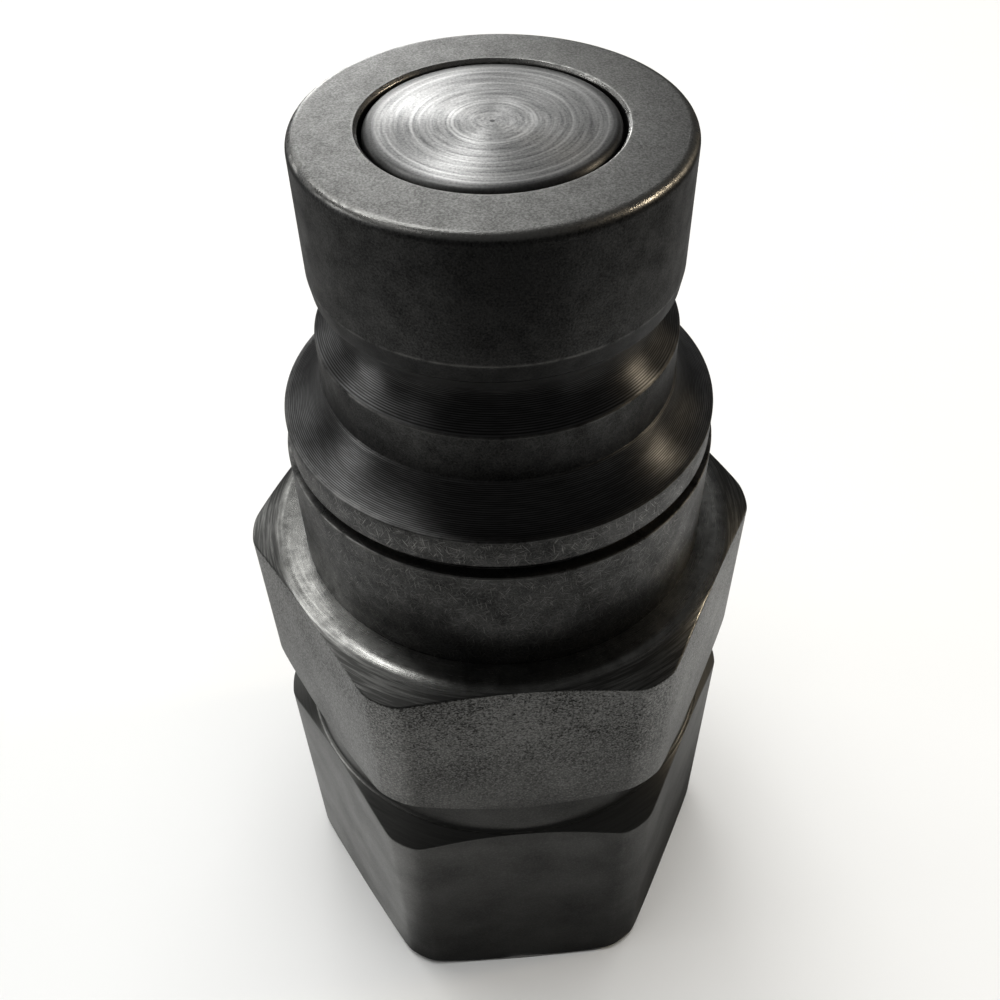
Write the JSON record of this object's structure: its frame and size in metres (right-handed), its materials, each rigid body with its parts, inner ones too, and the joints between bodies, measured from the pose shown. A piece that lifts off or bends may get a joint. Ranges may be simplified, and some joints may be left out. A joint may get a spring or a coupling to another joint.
{
  "type": "quick coupling plug, flat-face hydraulic",
  "caption": "Plug half of a flat-face hydraulic quick coupling: round nose with ball groove and sprung flat poppet, screwed into a waisted hexagon adapter with a threaded port.",
  "frame": {"origin": "centre of the rear end face of the hexagon, on the surface that the plug stands on", "axes": "+Z along the axis towards the flat face of the nose; hexagon corners on +X and -X, flats square to Y"},
  "size_m": [0.0401, 0.036, 0.08],
  "materials": {
    "adapter_steel": "turned hexagon bar steel, grey plating, bright turning marks on the chamfers",
    "nipple_steel": "turned and tumbled hardened steel, dark grey plating",
    "poppet_steel": "bright faced steel with fine rings",
    "guide_steel": "turned steel",
    "spring_steel": "drawn spring wire",
    "nitrile_rubber": "moulded black rubber",
    "ptfe": "turned white PTFE"
  },
  "bodies": {
    "plug_body": {"hex_adapter": "adapter_steel", "nipple_body": "nipple_steel", "joint_o_ring": "nitrile_rubber", "joint_backup_ring": "ptfe", "valve_guide": "guide_steel", "poppet_spring": "spring_steel"},
    "poppet": {"poppet_head": "poppet_steel", "poppet_seal_ring": "nitrile_rubber", "poppet_backup_ring": "ptfe", "poppet_stem": "poppet_steel"}
  },
  "joints": [
    {"name": "poppet_slide", "type": "slide", "parent": "plug_body", "child": "poppet", "axis": [0, 0, -1], "range_m": [0, 0.0095], "stiffness_N_per_m": 3200, "springref_m": -0.005, "deforming": ["poppet_spring"]}
  ]
}
